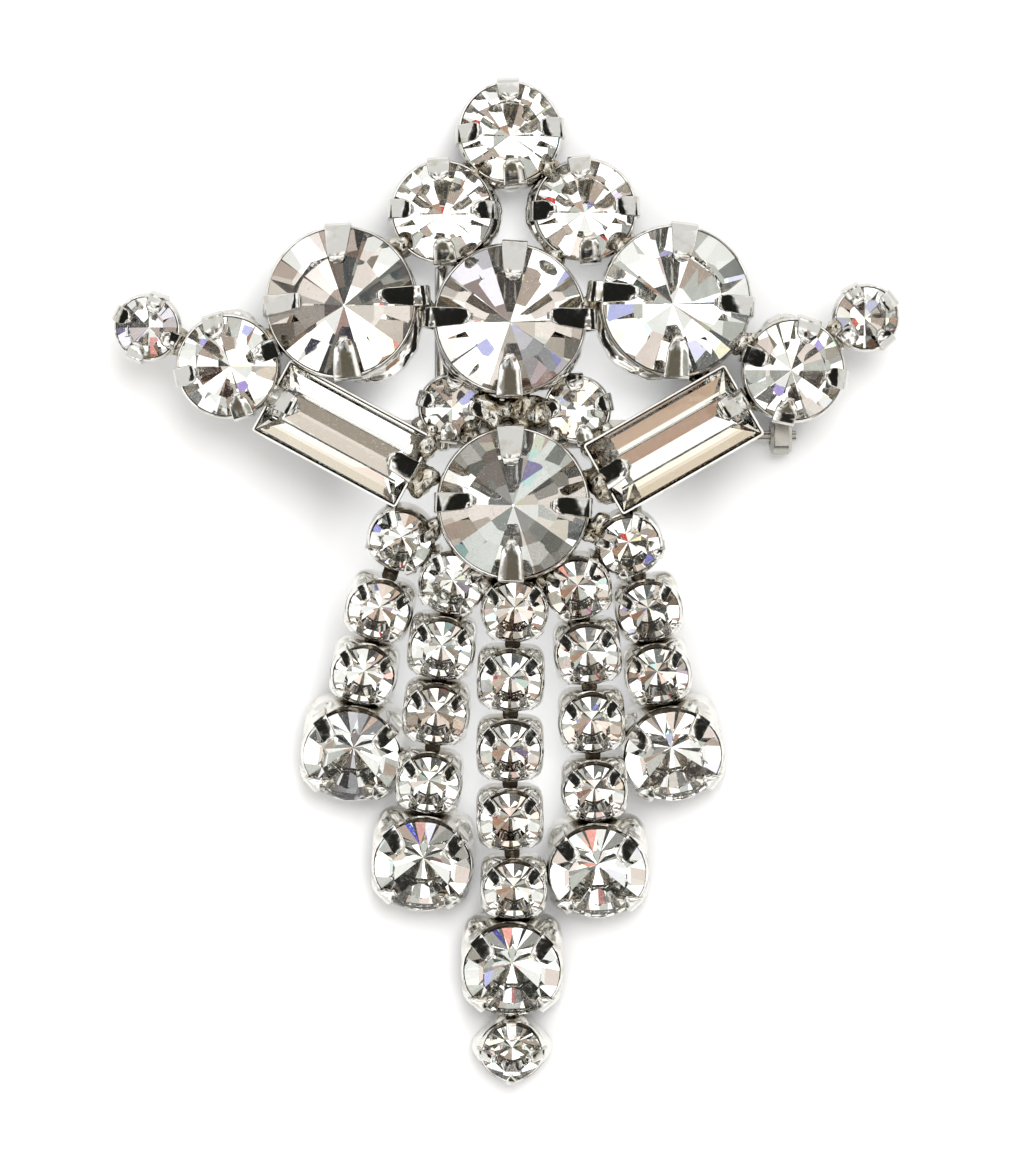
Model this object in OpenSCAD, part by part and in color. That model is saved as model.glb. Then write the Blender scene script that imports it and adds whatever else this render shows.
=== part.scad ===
/* [Stones] */
// Diameter of the four big round stones
big_d = 11.2; // [11:0.1:11.3]
// Diameter of the medium round stones
medium_d = 7.5; // [7.3:0.1:7.6]
// Diameter of the small round stones
small_d = 4.65; // [4.5:0.05:4.7]
// Table of a round stone as a share of its diameter
table_share = 0.64; // [0.55:0.01:0.68]
// Length of a baguette stone
baguette_l = 12; // [11.6:0.1:12]
// Width of a baguette stone
baguette_w = 5.65; // [5.4:0.05:5.65]

/* [Settings] */
// Thickness of the metal round a stone
wall = 0.22; // [0.2:0.01:0.25]
// Clearance between a stone and its metal
gap = 0.08; // [0.06:0.01:0.1]
// Radius of the smallest solder lump
solder_r = 0.75; // [0.7:0.05:0.85]
// Width of the slot that a chain link passes through
slot_w = 1.5; // [1.4:0.05:1.6]
// Height of the slot that a chain link passes through
slot_h = 0.6; // [0.55:0.05:0.65]

/* [Rest pose] */
// Lean of the soldered body towards its top stone
body_lean = 10; // [9:0.5:10]
// Extra height of the lowest stone of the middle strand
tip_lift = 0.1; // [0.1:0.01:0.15]

/* [Pin back] */
// Length of the bar
pin_bar_l = 34.6; // [34:0.1:35]
// Width of the bar
pin_bar_w = 2.2; // [2.2:0.1:2.4]
// Thickness of the bar
pin_bar_t = 0.7; // [0.6:0.05:0.8]
// Diameter of the pin stem
pin_stem_d = 0.8; // [0.7:0.05:0.9]
// Width of the catch along the bar
catch_w = 1.65; // [1.5:0.05:1.8]

/* [Hidden] */
$fn = 32;
EPS = 0.01;

// Columns of a round stone and its setting
DIAMETER = 0;
FACETS = 1;
CROWN = 2;
PAVILION = 3;
CUP_DEPTH = 4;
BASE_R = 5;
CLAW_W = 6;
REACH = 7;
CLAW_T = 8;
HOLE_R = 9;
BIG = [big_d, 10, 1.5, 5.1, 4.6, 3.2, 1.7, 2.0, 0.4, 1.15];
MEDIUM = [medium_d, 10, 1.05, 3.42, 3.3, 2.5, 1.4, 1.3, 0.35, 0.75];
SMALL = [small_d, 8, 0.7, 2.12, 2.15, 1.95, 0.9, 0.85, 0.25, 0.55];

// Columns of the body table: place in the leaning plane, level of the girdle, turn of the claws, leans
NAME = 0;
KIND = 1;
U = 2;
V = 3;
LEVEL = 4;
SPIN = 5;
LEAN_X = 6;
LEAN_Y = 7;
BODY = [
    ["top", MEDIUM, -0.15, 34.9, -0.6, 3, 0, 0],
    ["row2_left", MEDIUM, -5.35, 28.8, -0.6, 2, 0, 0],
    ["row2_right", MEDIUM, 5.6, 28.95, -0.6, 4, 0, 0],
    ["big_left", BIG, -13.1, 21.8, 0, 3, 0, -3],
    ["big_centre", BIG, -0.15, 20.5, 0, -1, 0, 0],
    ["big_right", BIG, 12.55, 21.9, 0, -4, 0, 3],
    ["big_bottom", BIG, 0.1, 6.35, 0, 0, 0, 0],
    ["arm_left", MEDIUM, -21.8, 16.9, -0.6, 16, 5, -3],
    ["arm_right", MEDIUM, 21.6, 16.6, -0.6, -17, 5, 3],
    ["tip_left", SMALL, -28.0, 19.9, -0.9, -23, 6, -4],
    ["tip_right", SMALL, 27.2, 20.65, -0.9, 36, 6, 4],
    ["small_left", SMALL, -4.6, 13.85, -1.4, -6, 0, 0],
    ["small_right", SMALL, 5.0, 13.7, -1.4, 9, 0, 0]
];

// Baguettes: name, place in the leaning plane, level of the girdle, turn
TURN = 5;
BAGUETTES = [
    ["baguette_left", 0, -13.0, 11.75, -0.9, -28.4],
    ["baguette_right", 0, 12.4, 11.3, -0.9, 29.8]
];
BAG_TABLE_L = baguette_l * 0.8;
BAG_TABLE_W = baguette_w * 0.5;
BAG_CROWN = 1.1;
BAG_STEP_IN = 0.75;
BAG_STEP_H = 0.65;
BAG_PAVILION = 2.2;
BAG_KEEL_L = baguette_l * 0.62;
BAG_BAND = 0.1;
BAG_DEPTH = 2.55;
BAG_CLAW_W = 1.7;
BAG_CLAW_T = 0.3;
BAG_REACH = 1.6;

// Pairs of settings that solder joins
JOINED = [
    ["top", "row2_left"], ["top", "row2_right"], ["row2_left", "big_centre"], ["row2_right", "big_centre"],
    ["row2_left", "big_left"], ["row2_right", "big_right"], ["big_left", "big_centre"],
    ["big_centre", "big_right"], ["big_left", "arm_left"], ["big_right", "arm_right"],
    ["arm_left", "tip_left"], ["arm_right", "tip_right"], ["big_centre", "small_left"],
    ["big_centre", "small_right"], ["small_left", "big_bottom"], ["small_right", "big_bottom"]
];

// More solder lumps in the leaning plane: u, v, w, radius
LUMPS = [
    [-1.5, 13.4, -1.9, 1.1], [1.6, 13.4, -1.9, 1.1], [-6.9, 10.6, -2.0, 1.0], [6.7, 10.2, -2.0, 0.95],
    [-6.9, 8.0, -2.3, 1.15], [7.0, 7.6, -2.3, 1.15], [-6.1, 4.4, -2.6, 1.0], [6.2, 4.2, -2.6, 1.0],
    [-15.2, 16.4, -2.0, 0.8], [14.6, 15.9, -2.0, 0.8], [-18.3, 14.4, -2.1, 0.75], [18.0, 14.4, -2.1, 0.75],
    [-2.4, 0.6, -2.6, 0.9], [2.7, 0.6, -2.6, 0.9]
];

// Strands from left to right: plan place of each cup, from the body down
STRANDS = [
    [[-8.55, 3.15], [-10.3, -2.5], [-11.55, -7.75], [-12.55, -14.3]],
    [[-4.6, -0.15], [-5.45, -5.4], [-5.9, -10.75], [-6.5, -16.4], [-7.05, -23.1]],
    [[0.2, -2.15], [-0.1, -7.75], [-0.15, -13.45], [-0.15, -19.1], [0.15, -24.85], [0, -31.55], [0, -38.42]],
    [[5.08, -0.52], [5.85, -5.8], [6.2, -11.4], [6.45, -17.0], [6.75, -23.65]],
    [[9.02, 2.76], [10.6, -2.55], [11.35, -7.75], [12.6, -14.3]]
];
// Depth of each strand's first cup below the leaning plane
FIRST_DROP = [2.1, 2.3, 1.85, 2.1, 2.1];
CENTRE = 2;

// Chain links: depth of the bar below the girdles, its sections, and how far inside a cup its heads lie
LINK_DROP = 1.35;
LINK_W = 0.7;
LINK_T = 0.24;
HEAD_W = 1.9;
HEAD_L = 0.33;
HEAD_IN_SMALL = 1.22;
HEAD_IN_MEDIUM = 2.6;

// Claws: lift off the wall's inner side, height of the straight strap's top, and bevels of the bent part
CLAW_LIFT = 0.06;
STRAP_TOP = -0.5;
CLAW_BEVEL = 0.05;
CLAW_NOSE = 0.2;
STRAP_START = 0.15;

// Solder: depth below the girdles where it joins two settings, and length of a lump as a share of its radius
SOLDER_DROP = 1.3;
LUMP_L = 1.7;

// Rod behind the centre stone: one end in the leaning plane, radius and length
ROD_START = [-5.4, 10.6, -3.95];
ROD_R = 0.6;
ROD_L = 17;

// The leaning plane rises so that the top cup's far edge and the pin back both touch the surface
LEANING_TOP = BODY[0][V] + MEDIUM[BASE_R];
LEANING_BACK = MEDIUM[CUP_DEPTH] - BODY[0][LEVEL];
RISE = LEANING_TOP * sin(body_lean) + LEANING_BACK * cos(body_lean);
PIN_V = 12.0;
BAR_TOP = -BIG[CUP_DEPTH] - gap;
BAR_LOW = BAR_TOP - pin_bar_t;
PIN_LOW = (PIN_V * sin(body_lean) - RISE) / cos(body_lean);
EAR_R = 1.3;
EAR_T = 0.5;
EAR_GAP = 1.1;
EAR_FOOT = 2;
BARREL_R = 0.9;
POST_U = 13;
POST_R = 1.2;
STEM_PAST = 1.2;
STEM_W = PIN_LOW + EAR_R + (EAR_GAP / 2 + EAR_T) * tan(body_lean);
HINGE_U = 1.6 - pin_bar_l / 2;
CATCH_U = 20.95;
ARM_U = 14.6;
ARM_NEAR = 1.8;
ARM_FAR = 3;
ARM_SHORT = 0.1;
RING_R = (STEM_W - PIN_LOW) * cos(body_lean);
RING_HOLE_R = 0.75;
RING_EDGE = 0.25;
FOOT_UP = 0.25;
FOOT_W = 1.8;
FOOT_IN = 0.3;
FOOT_SHORT = 0.15;

// Moves the part so that the middle of its box stands over the origin
TO_MIDDLE = [0.48, 1.32, 0];

function strand_stone_name(k, i) = str("stone_strand_", k + 1, "_", i + 1);
function radius(kind) = kind[DIAMETER] / 2;
function cup_r(kind) = radius(kind) + gap + wall;
function girdle(kind) = kind[DIAMETER] * 0.008;
function bend_height(kind) = -0.055 * kind[DIAMETER] - 0.15;
// Distance from the axis to a table edge, and slope of the crown and pavilion facets
function table_flat(kind) = radius(kind) * table_share * cos(180 / kind[FACETS]);
function crown_slope(kind) = (kind[CROWN] - girdle(kind)) / (radius(kind) - table_flat(kind));
function pavilion_slope(kind) = (kind[PAVILION] - girdle(kind)) / radius(kind);
// Highest point of the crown at a distance x from the axis
function crown_top(kind, x) =
    min(kind[CROWN], kind[CROWN] - (x * cos(180 / kind[FACETS]) - table_flat(kind)) * crown_slope(kind));
function body_row(name) = [for (b = BODY) if (b[NAME] == name) b][0];

// Strands: kind of each cup, lengths along the plan, heights and turns
function strand_kind(k, i) =
    let (last = len(STRANDS[k]) - 1)
    k == CENTRE ? (i == last - 1 ? MEDIUM : SMALL) : (i == last ? MEDIUM : SMALL);
function run_to(k, i) = i == 0 ? 0 : run_to(k, i - 1) + norm(STRANDS[k][i] - STRANDS[k][i - 1]);
function first_height(k) =
    let (v = STRANDS[k][0][1] / cos(body_lean) - FIRST_DROP[k] * tan(body_lean))
    RISE - v * sin(body_lean) - FIRST_DROP[k] * cos(body_lean);
function lying_height(kind, slope) = kind[BASE_R] * sin(slope) + kind[CUP_DEPTH] * cos(slope);
function strand_slope(k, rounds = 4) =
    let (last = len(STRANDS[k]) - 1)
    let (guess = rounds == 0 ? 11 : strand_slope(k, rounds - 1))
    let (low = lying_height(strand_kind(k, last), guess) + (k == CENTRE ? tip_lift : EPS))
    atan((first_height(k) - low) / run_to(k, last));
function cup_place(k, i) =
    [STRANDS[k][i][0], STRANDS[k][i][1], first_height(k) - run_to(k, i) * tan(strand_slope(k))];
function turn_between(a, b) = atan2(b[0] - a[0], a[1] - b[1]);
function cup_turn(k, i) =
    let (s = STRANDS[k], last = len(s) - 1)
    i == 0 ? turn_between(s[0], s[1])
    : i == last ? turn_between(s[last - 1], s[last])
    : (turn_between(s[i - 1], s[i]) + turn_between(s[i], s[i + 1])) / 2;

// The cup at the tip of the middle strand has its claws along and across the strand
function claw_turn(k, i) = k == CENTRE && i == len(STRANDS[k]) - 1 ? 0 : 45;

// Places a part in the leaning plane of the body
module leaning() {
    translate(TO_MIDDLE + [0, 0, RISE]) rotate([-body_lean, 0, 0]) children();
}

module at_body_row(b) {
    leaning() translate([b[U], b[V], b[LEVEL]]) rotate([b[LEAN_X], b[LEAN_Y], 0]) children();
}

module at_baguette(b) {
    leaning() translate([b[U], b[V], b[LEVEL]]) rotate([0, 0, b[TURN]]) children();
}

module at_cup(k, i) {
    translate(TO_MIDDLE + cup_place(k, i)) rotate([strand_slope(k), 0, cup_turn(k, i)]) children();
}

// Stands a profile in the XZ plane and gives it a width along Y
module standing(width) {
    rotate([90, 0, 0]) linear_extrude(height = width, center = true) children();
}

// Two opposite crown facets as one roof
module crown_roof(kind) {
    far = radius(kind) + 0.5;
    flat = table_flat(kind);
    slope = crown_slope(kind);
    low = -kind[PAVILION] - 1;
    eaves = kind[CROWN] - (far - flat) * slope;
    standing(2 * far) polygon([
        [0, kind[CROWN] + flat * slope], [-far, eaves], [-far, low], [far, low], [far, eaves]
    ]);
}

// Two opposite pavilion facets as one keel
module pavilion_keel(kind) {
    far = radius(kind) + 0.5;
    high = kind[CROWN] + 1;
    edge = -kind[PAVILION] + far * pavilion_slope(kind);
    standing(2 * far) polygon([[0, -kind[PAVILION]], [far, edge], [far, high], [-far, high], [-far, edge]]);
}

// Round cut stone: table, a ring of crown facets, round girdle, pavilion facets and a small culet
module round_stone(kind) {
    n = kind[FACETS];
    culet = kind[DIAMETER] * 0.008;
    color([0.86, 0.9, 0.94])
    intersection() {
        translate([0, 0, culet - kind[PAVILION]])
            cylinder(r = radius(kind), h = kind[PAVILION] - culet + kind[CROWN]);
        intersection_for (i = [0 : n / 2 - 1]) rotate([0, 0, i * 360 / n]) crown_roof(kind);
        intersection_for (i = [0 : n / 2 - 1]) rotate([0, 0, (i + 0.5) * 360 / n]) pavilion_keel(kind);
    }
}

// Baguette: stepped crown along its sides, single facets at its ends, keel below
module baguette_stone() {
    half_l = baguette_l / 2;
    half_w = baguette_w / 2;
    end_rise = (BAG_CROWN - BAG_BAND) / (half_l - BAG_TABLE_L / 2);
    end_fall = (BAG_PAVILION - BAG_BAND) / (half_l - BAG_KEEL_L / 2);
    step = half_w - BAG_STEP_IN;
    color([0.9, 0.88, 0.86])
    intersection() {
        rotate([0, 0, 90]) standing(baguette_l + 1) polygon([
            [half_w, BAG_BAND], [step, BAG_STEP_H], [BAG_TABLE_W / 2, BAG_CROWN],
            [-BAG_TABLE_W / 2, BAG_CROWN], [-step, BAG_STEP_H], [-half_w, BAG_BAND],
            [-half_w, -BAG_BAND], [0, -BAG_PAVILION], [half_w, -BAG_BAND]
        ]);
        standing(baguette_w + 1) polygon([
            [half_l, BAG_BAND], [0, BAG_BAND + half_l * end_rise], [-half_l, BAG_BAND],
            [-half_l, -BAG_BAND], [0, -BAG_BAND - half_l * end_fall], [half_l, -BAG_BAND]
        ]);
    }
}

// Bowl of a round setting, open in the middle of its floor where the point of the stone shows
module bowl(kind) {
    inside = radius(kind) + gap;
    outside = cup_r(kind);
    foot = kind[BASE_R];
    hole = kind[HOLE_R];
    low = -kind[CUP_DEPTH];
    bend = bend_height(kind);
    rotate_extrude() polygon([
        [hole, low], [foot, low], [outside, bend], [outside, gap], [inside, gap],
        [inside, bend + wall / 4], [foot - 1.2 * wall, low + wall], [hole, low + wall]
    ]);
}

// Claw: a strap up the outside of the wall, bent over the edge of the stone.
// edge: stone's edge, foot and low: lower end of the strap,
// rise and tip_rise: height of the crown below the bend and below the tip
module claw(edge, foot, low, rise, tip_rise, reach, width, thick, proud) {
    inner = edge + gap + CLAW_LIFT;
    outer = edge + gap + wall + proud;
    tip = edge - reach;
    past = outer + 1;
    intersection() {
        standing(width + 1) polygon([
            [foot - 0.3, low], [foot + proud, low], [outer, STRAP_TOP], [outer, rise + 2 * CLAW_BEVEL],
            [edge - CLAW_BEVEL, rise + gap + thick + CLAW_BEVEL],
            [tip + CLAW_NOSE, tip_rise + gap + thick], [tip, tip_rise + gap + thick * 0.4],
            [tip, tip_rise + gap], [inner, rise + gap], [inner, STRAP_TOP]
        ]);
        translate([0, 0, low - 1]) linear_extrude(height = rise + thick - low + 2) polygon([
            [tip, -0.2 * width], [tip + 0.25 * width, -0.42 * width], [edge, -0.5 * width],
            [past, -0.5 * width], [past, 0.5 * width], [edge, 0.5 * width],
            [tip + 0.25 * width, 0.42 * width], [tip, 0.2 * width]
        ]);
    }
}

// Four claws round a stone, the first at the angle given
module claws(kind, first) {
    edge = radius(kind);
    rise = crown_top(kind, edge);
    tip_rise = crown_top(kind, edge - kind[REACH]);
    for (a = [0 : 90 : 270])
        rotate([0, 0, first + a])
            claw(edge, kind[BASE_R], STRAP_START - kind[CUP_DEPTH], rise, tip_rise,
                kind[REACH], kind[CLAW_W], kind[CLAW_T], kind[CLAW_T] * 0.75);
}

// Slot in the wall of a chain cup, on the side that the sign gives
module slot(kind, side) {
    translate([0, side * cup_r(kind), -LINK_DROP]) cube([slot_w, 2.2, slot_h], center = true);
}

module setting(kind, first) {
    bowl(kind);
    claws(kind, first);
}

// Chain cup: first is the turn of its claws, up and down say which sides have a slot for a link
module chain_cup(kind, first, up, down) {
    difference() {
        setting(kind, first);
        if (up) slot(kind, 1);
        if (down) slot(kind, -1);
    }
}

// Open tray and two end claws of a baguette
module baguette_setting() {
    long_side = baguette_l + 2 * gap;
    short_side = baguette_w + 2 * gap;
    tip_rise = BAG_BAND + BAG_REACH * (BAG_CROWN - BAG_BAND) / ((baguette_l - BAG_TABLE_L) / 2);
    difference() {
        translate([-long_side / 2 - wall, -short_side / 2 - wall, -BAG_DEPTH])
            cube([long_side + 2 * wall, short_side + 2 * wall, BAG_DEPTH]);
        translate([-long_side / 2, -short_side / 2, wall - BAG_DEPTH])
            cube([long_side, short_side, BAG_DEPTH]);
    }
    for (side = [0, 180])
        rotate([0, 0, side])
            claw(baguette_l / 2, baguette_l / 2, STRAP_START - BAG_DEPTH, BAG_BAND, tip_rise,
                BAG_REACH, BAG_CLAW_W, BAG_CLAW_T, BAG_CLAW_T / 3);
}

// Space inside a round setting, reaching to the middle of its wall
module pocket(kind) {
    inside = radius(kind) + gap + wall / 2;
    low = wall / 2 - kind[CUP_DEPTH];
    high = kind[CROWN] + 1;
    rotate_extrude() polygon([
        [0, low], [kind[BASE_R] - wall / 2, low], [inside, bend_height(kind)], [inside, high], [0, high]
    ]);
}

// Space inside a tray, reaching to the middle of its wall
module tray_pocket() {
    long_side = baguette_l + 2 * gap + wall;
    short_side = baguette_w + 2 * gap + wall;
    translate([-long_side / 2, -short_side / 2, wall / 2 - BAG_DEPTH])
        cube([long_side, short_side, BAG_DEPTH + 2]);
}

// Lump of solder: a prism of eight faces, turned by its place so that no two lie alike
module lump(spot, r) {
    translate(spot) rotate([17 + 3 * spot[0], 11 + 5 * spot[1], 7 * spot[0]])
        cylinder(r = r, h = LUMP_L * r, center = true, $fn = 8);
}

// Solder where two round settings meet
module joint_lump(a, b) {
    pa = [a[U], a[V], a[LEVEL]];
    pb = [b[U], b[V], b[LEVEL]];
    apart = norm(pb - pa);
    space = apart - cup_r(a[KIND]) - cup_r(b[KIND]);
    spot = pa + (pb - pa) * (cup_r(a[KIND]) + space / 2) / apart;
    lump(spot - [0, 0, SOLDER_DROP], solder_r + max(0, space) / 2);
}

module body_metal() {
    color("silver") {
        for (b = BODY) at_body_row(b) setting(b[KIND], b[SPIN]);
        for (b = BAGUETTES) at_baguette(b) baguette_setting();
        for (k = [0 : 4]) at_cup(k, 0) chain_cup(strand_kind(k, 0), 45, false, true);
        for (side = [-1, 1]) leaning() bar_post(side * POST_U);
        difference() {
            leaning() solder();
            for (b = BODY) at_body_row(b) pocket(b[KIND]);
            for (b = BAGUETTES) at_baguette(b) tray_pocket();
            for (k = [0 : 4]) at_cup(k, 0) pocket(strand_kind(k, 0));
        }
    }
}

// All the solder lumps and the rod between the cups
module solder() {
    for (p = JOINED) joint_lump(body_row(p[0]), body_row(p[1]));
    for (s = LUMPS) lump([s[0], s[1], s[2]], s[3]);
    back_brace();
}

// Rod behind the left edge of the centre stone, from the second row to the bar
module back_brace() {
    translate(ROD_START) rotate([-90, 0, 0]) cylinder(r = ROD_R, h = ROD_L);
}

// Post between a baguette's tray and the bar of the pin back
module bar_post(u) {
    top = BAGUETTES[0][LEVEL] - BAG_DEPTH + wall / 2;
    translate([u, PIN_V, -BIG[CUP_DEPTH]]) cylinder(r = POST_R, h = top + BIG[CUP_DEPTH]);
}

// Bar, hinge ears, stem and closed catch as one plain piece
module pin_back() {
    color("gainsboro")
    leaning() {
        bar();
        hinge();
        translate([HINGE_U, PIN_V, STEM_W]) rotate([0, 90, 0])
            cylinder(d = pin_stem_d, h = CATCH_U - HINGE_U + STEM_PAST);
        catch();
    }
}

// Bar behind the baguettes, with an arm that goes on under the right arm's stone to the catch
module bar() {
    half_l = pin_bar_l / 2;
    half_w = pin_bar_w / 2;
    arm_end = CATCH_U + catch_w / 2 - ARM_SHORT;
    translate([0, PIN_V, BAR_LOW]) linear_extrude(pin_bar_t) polygon([
        [-half_l, -half_w], [half_l, -half_w], [half_l, ARM_NEAR], [arm_end, ARM_NEAR],
        [arm_end, ARM_FAR], [ARM_U, ARM_FAR], [ARM_U, half_w], [-half_l, half_w]
    ]);
}

module hinge() {
    tall = BAR_LOW - STEM_W + pin_bar_t / 2;
    for (side = [-1, 1])
        translate([HINGE_U, PIN_V + side * (EAR_GAP + EAR_T) / 2, STEM_W]) {
            rotate([90, 0, 0]) cylinder(r = EAR_R, h = EAR_T, center = true);
            translate([-EAR_FOOT / 2, -EAR_T / 2, 0]) cube([EAR_FOOT, EAR_T, tall]);
        }
    translate([HINGE_U, PIN_V, STEM_W]) rotate([90, 0, 0])
        cylinder(r = BARREL_R, h = EAR_GAP + EAR_T, center = true);
}

// Ring that holds the stem, bevelled at its edges, on a foot that reaches under the bar's arm
module catch() {
    half = catch_w / 2;
    foot = RING_HOLE_R + FOOT_UP;
    tall = BAR_LOW - STEM_W - foot + pin_bar_t / 2;
    translate([CATCH_U, PIN_V, STEM_W]) {
        rotate([0, 90, 0]) rotate_extrude() polygon([
            [RING_HOLE_R, -half], [RING_R - RING_EDGE, -half], [RING_R, RING_EDGE - half],
            [RING_R, half - RING_EDGE], [RING_R - RING_EDGE, half], [RING_HOLE_R, half]
        ]);
        translate([FOOT_IN - half, -FOOT_W / 2, foot])
            cube([catch_w - 2 * FOOT_IN, FOOT_W / 2 + ARM_FAR - FOOT_SHORT, tall]);
    }
}

// Loose cups of a strand and the links between them and the soldered cup
module strand(k) {
    last = len(STRANDS[k]) - 1;
    color("silver") {
        for (i = [1 : last]) at_cup(k, i) chain_cup(strand_kind(k, i), claw_turn(k, i), true, i < last);
        for (i = [0 : last - 1]) link(k, i);
    }
}

// Link from cup i to the next: a flat bar with a cross head inside each cup
module link(k, i) {
    drop = [0, 0, LINK_DROP];
    slope = strand_slope(k);
    a = cup_place(k, i);
    b = cup_place(k, i + 1);
    reach = norm(b - a);
    in_a = head_place(strand_kind(k, i));
    in_b = head_place(strand_kind(k, i + 1));
    translate(TO_MIDDLE + a) rotate([slope, 0, turn_between(a, b)]) translate(-drop) {
        translate([-LINK_W / 2, in_b - reach, -LINK_T / 2]) cube([LINK_W, reach - in_a - in_b, LINK_T]);
        translate([-HEAD_W / 2, -in_a - HEAD_L, -LINK_T / 2]) cube([HEAD_W, HEAD_L, LINK_T]);
        translate([-HEAD_W / 2, in_b - reach, -LINK_T / 2]) cube([HEAD_W, HEAD_L, LINK_T]);
    }
}

// Distance from a cup's axis to the inner side of a link's head
function head_place(kind) = kind == SMALL ? HEAD_IN_SMALL : HEAD_IN_MEDIUM;

for (b = BODY) at_body_row(b) round_stone(b[KIND]);
for (b = BAGUETTES) at_baguette(b) baguette_stone();
for (k = [0 : 4])
    for (i = [0 : len(STRANDS[k]) - 1])
        at_cup(k, i) round_stone(strand_kind(k, i));
body_metal();
pin_back();
for (k = [0 : 4]) strand(k);
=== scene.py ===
import math
import random

import bmesh
import bpy
from mathutils import Matrix, Vector, noise


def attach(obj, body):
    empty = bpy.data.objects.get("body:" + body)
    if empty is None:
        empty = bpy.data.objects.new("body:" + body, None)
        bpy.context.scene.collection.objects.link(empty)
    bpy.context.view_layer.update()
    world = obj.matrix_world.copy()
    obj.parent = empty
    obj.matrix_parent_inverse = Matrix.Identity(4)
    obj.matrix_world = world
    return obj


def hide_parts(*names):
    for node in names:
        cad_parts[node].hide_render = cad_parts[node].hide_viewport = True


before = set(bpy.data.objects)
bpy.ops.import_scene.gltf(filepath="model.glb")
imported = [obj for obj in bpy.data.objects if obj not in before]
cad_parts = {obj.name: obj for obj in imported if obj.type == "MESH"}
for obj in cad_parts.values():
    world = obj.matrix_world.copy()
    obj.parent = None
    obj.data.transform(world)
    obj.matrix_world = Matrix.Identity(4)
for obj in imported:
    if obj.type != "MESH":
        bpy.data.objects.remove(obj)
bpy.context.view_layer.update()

# Lengths below are in millimetres, and the meshes are scaled to metres when they are made
MM = 0.001

# Photograph: its height, and how many of its pixels make a millimetre at the body's centre
PHOTO_H = 1173
PIXELS_PER_MM = 13.1

# Camera: distance, lean from straight above, the point that it looks at, and width of its sensor
CAMERA_FROM = 330.0
CAMERA_LEAN = math.radians(8)
LOOK_AT = Vector((0.48, 1.32, 10.335))
SENSOR = 36.0

# Round stones and their bowls: radius, height of the crown, depth, and radii of the bowl's foot, the
# stone's table and the hole in the bowl's floor
KINDS = {
    "big": dict(r=5.6, crown=1.5, depth=4.6, foot=3.2, table=3.45, hole=1.15),
    "medium": dict(r=3.75, crown=1.05, depth=3.3, foot=2.5, table=2.3, hole=0.75),
    "small": dict(r=2.325, crown=0.7, depth=2.15, foot=1.95, table=1.4, hole=0.55),
}

# Half thickness of a round stone's girdle, as a share of its radius
GIRDLE = 0.016

# Thickness of a bowl's wall, and how far it stands off the stone and above the girdle
WALL = 0.22
GAP = 0.08

# Bowls: share of the depth down which the wall goes straight, how upright it ends, thickness at the rim,
# and squareness, of the body's cups, of each strand's first cup and of its other cups
BODY_WALL = dict(straight=0.3, upright=0.0, rim=0.16, square=0)
ROUND_WALL = dict(straight=0.86, upright=0.7, rim=0.13, square=0)
SQUARE_WALL = dict(straight=0.86, upright=0.82, rim=0.13, square=2.6)

# Gap between a stone and the inside of its rim
FIT = 0.035

# How far a strand cup's rim dips between its claws, and the degrees from a claw over which it does
RIM_DIP = 0.3
DIP_FROM = 12
DIP_OVER = 20

# Claws: widths at the shoulder and the tip, reach over the stone, thickness, bevel, lengths of the curl
# and of the rounded nose, and how far the middle stands above the sides as a share of the thickness
BODY_CLAWS = {
    "big": dict(root=2.05, tip=1.3, reach=2.7, thick=0.34, bevel=0.09, curl=0.36, nose=0.8, dome=0.08),
    "medium": dict(root=1.75, tip=1.5, reach=1.5, thick=0.34, bevel=0.1, curl=0.3, nose=0.75, dome=0.15),
    "small": dict(root=1.35, tip=1.2, reach=1.0, thick=0.34, bevel=0.09, curl=0.22, nose=0.6, dome=0.25),
}
STRAND_CLAWS = {
    "medium": dict(root=1.3, tip=1.15, reach=1.4, thick=0.4, bevel=0.07, curl=0.26, nose=0.6, dome=0.55),
    "small": dict(root=0.8, tip=0.72, reach=0.9, thick=0.34, bevel=0.05, curl=0.17, nose=0.4, dome=0.6),
}

# How much claws differ, as shares: in width at the shoulder, and in width at the tip and thickness. Then
# how far a tip may lean to one side, and by how many degrees a claw may turn
ROOT_VARIES = (0.95, 1.05)
TIP_VARIES = (0.94, 1.06)
TIP_SKEW = 0.1
TURN_VARIES = 1.2

# Nose of a claw: the share of the curl that it leaves out, the share of its width that it loses, how
# blunt it is, and the share of its thickness that it loses
NOSE_OFF = 0.8
NOSE_LOSS = 0.8
NOSE_BLUNT = 2.2
NOSE_THIN = 0.3

# Share of the bowl's depth at which a claw starts, and how far above the girdle its underside crosses the
# stone's edge
CLAW_FOOT = 0.86
FACE_RISE = 0.15

# Slopes of a claw's face where it leaves the stone's edge and before its tip, which set how light it
# looks: light, top, mixed, dark and black claws of the body, dark ones with a wide shoulder, then the
# upper and lower claws of the strands
SLOPES = {
    "L": (0.84, 0.76), "T": (0.74, 0.67), "M": (0.86, 0.44), "D": (0.64, 0.56), "B": (0.85, 0.78),
    "X": (0.64, 0.56), "U": (0.84, 0.76), "W": (0.52, 0.42),
}

# How far a wide shoulder stands out, and the share of its reach that a lower claw of a strand has
SHOULDER = 0.8
LOW_REACH = 0.62

# Share of its width that a claw of the body keeps where it stands to the left or the right of its stone:
# where the cosine of its turn, whatever its sign, is over the second value
SIDE_WIDTH = {"big": 0.8, "medium": 0.86, "small": 1.0}
SIDE_COSINE = 0.9

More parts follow.
